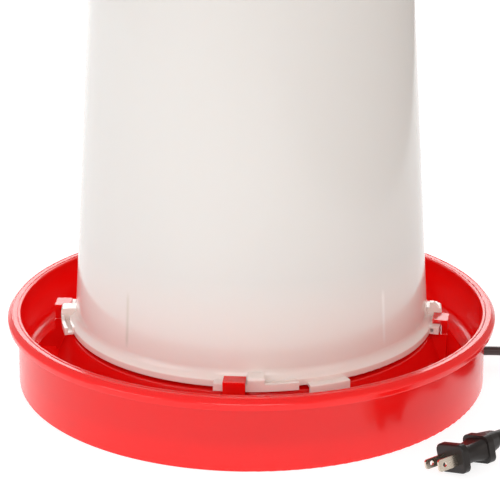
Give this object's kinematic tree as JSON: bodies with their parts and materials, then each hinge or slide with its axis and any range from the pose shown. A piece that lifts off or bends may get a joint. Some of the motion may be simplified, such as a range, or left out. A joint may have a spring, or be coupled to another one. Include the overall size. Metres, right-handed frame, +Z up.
{
  "type": "heated poultry waterer fount",
  "caption": "Heated poultry waterer: a tapered tank locked upside down into a round drinker pan by twist lugs, with a carrying bail, a sealed heater and a mains cord.",
  "frame": {"origin": "on the floor, at the centre of the pan's foot", "axes": "+Z up along the tank's axis, -Y towards the front, +X towards the side where the cord leaves the pan"},
  "size_m": [0.4899, 0.3833, 0.3435],
  "materials": {
    "pan_plastic": "semi-gloss moulded",
    "tank_plastic": "translucent satin moulded",
    "bail_steel": "zinc-plated wire",
    "grip_plastic": "matte moulded",
    "cover_plastic": "matte moulded",
    "gasket_rubber": "closed-cell foam",
    "screw_steel": "zinc-plated",
    "spreader_aluminium": "mill finish",
    "cable_silicone": "satin silicone",
    "pad_fibre": "felted glass fibre",
    "thermostat_phenolic": "matte moulded",
    "fuse_case": "drawn case",
    "lead_black": "smooth insulation",
    "lead_white": "smooth insulation",
    "splice_brass": "tinned",
    "entry_rubber": "moulded",
    "cord_jacket": "smooth jacket",
    "plug_vinyl": "satin moulded",
    "blade_brass": "nickel-plated",
    "tie_plastic": "matte"
  },
  "bodies": {
    "base": {"drinker_pan": "pan_plastic", "bottom_cover": "cover_plastic", "cover_gasket": "gasket_rubber", "cover_screws": "screw_steel", "heat_spreader": "spreader_aluminium", "heating_cable": "cable_silicone", "insulation_pad": "pad_fibre", "thermostat": "thermostat_phenolic", "thermostat_bracket": "screw_steel", "bracket_screws": "screw_steel", "thermal_fuse": "fuse_case", "live_lead": "lead_black", "neutral_lead": "lead_white", "jumper_lead": "lead_black", "crimp_splices": "splice_brass", "strain_relief": "entry_rubber", "cord_grommet": "entry_rubber", "cord_tail": "cord_jacket", "power_cord": "cord_jacket", "plug_lead": "cord_jacket", "cord_coil": "cord_jacket", "cord_tie": "tie_plastic", "plug_body": "plug_vinyl", "plug_sleeve": "plug_vinyl", "plug_blade_wide": "blade_brass", "plug_blade_narrow": "blade_brass"},
    "tank": {"tank_shell": "tank_plastic"},
    "handle": {"bail_wire": "bail_steel", "handle_grip": "grip_plastic"}
  },
  "joints": [
    {"name": "tank_twist", "type": "hinge", "parent": "base", "child": "tank", "pos_m": [0, 0, 0.0455], "axis": [0, 0, 1], "range_deg": [0, 12]},
    {"name": "handle_swing", "type": "hinge", "parent": "tank", "child": "handle", "pos_m": [0, 0, 0.336], "axis": [-1, 0, 0], "range_deg": [0, 183]}
  ]
}
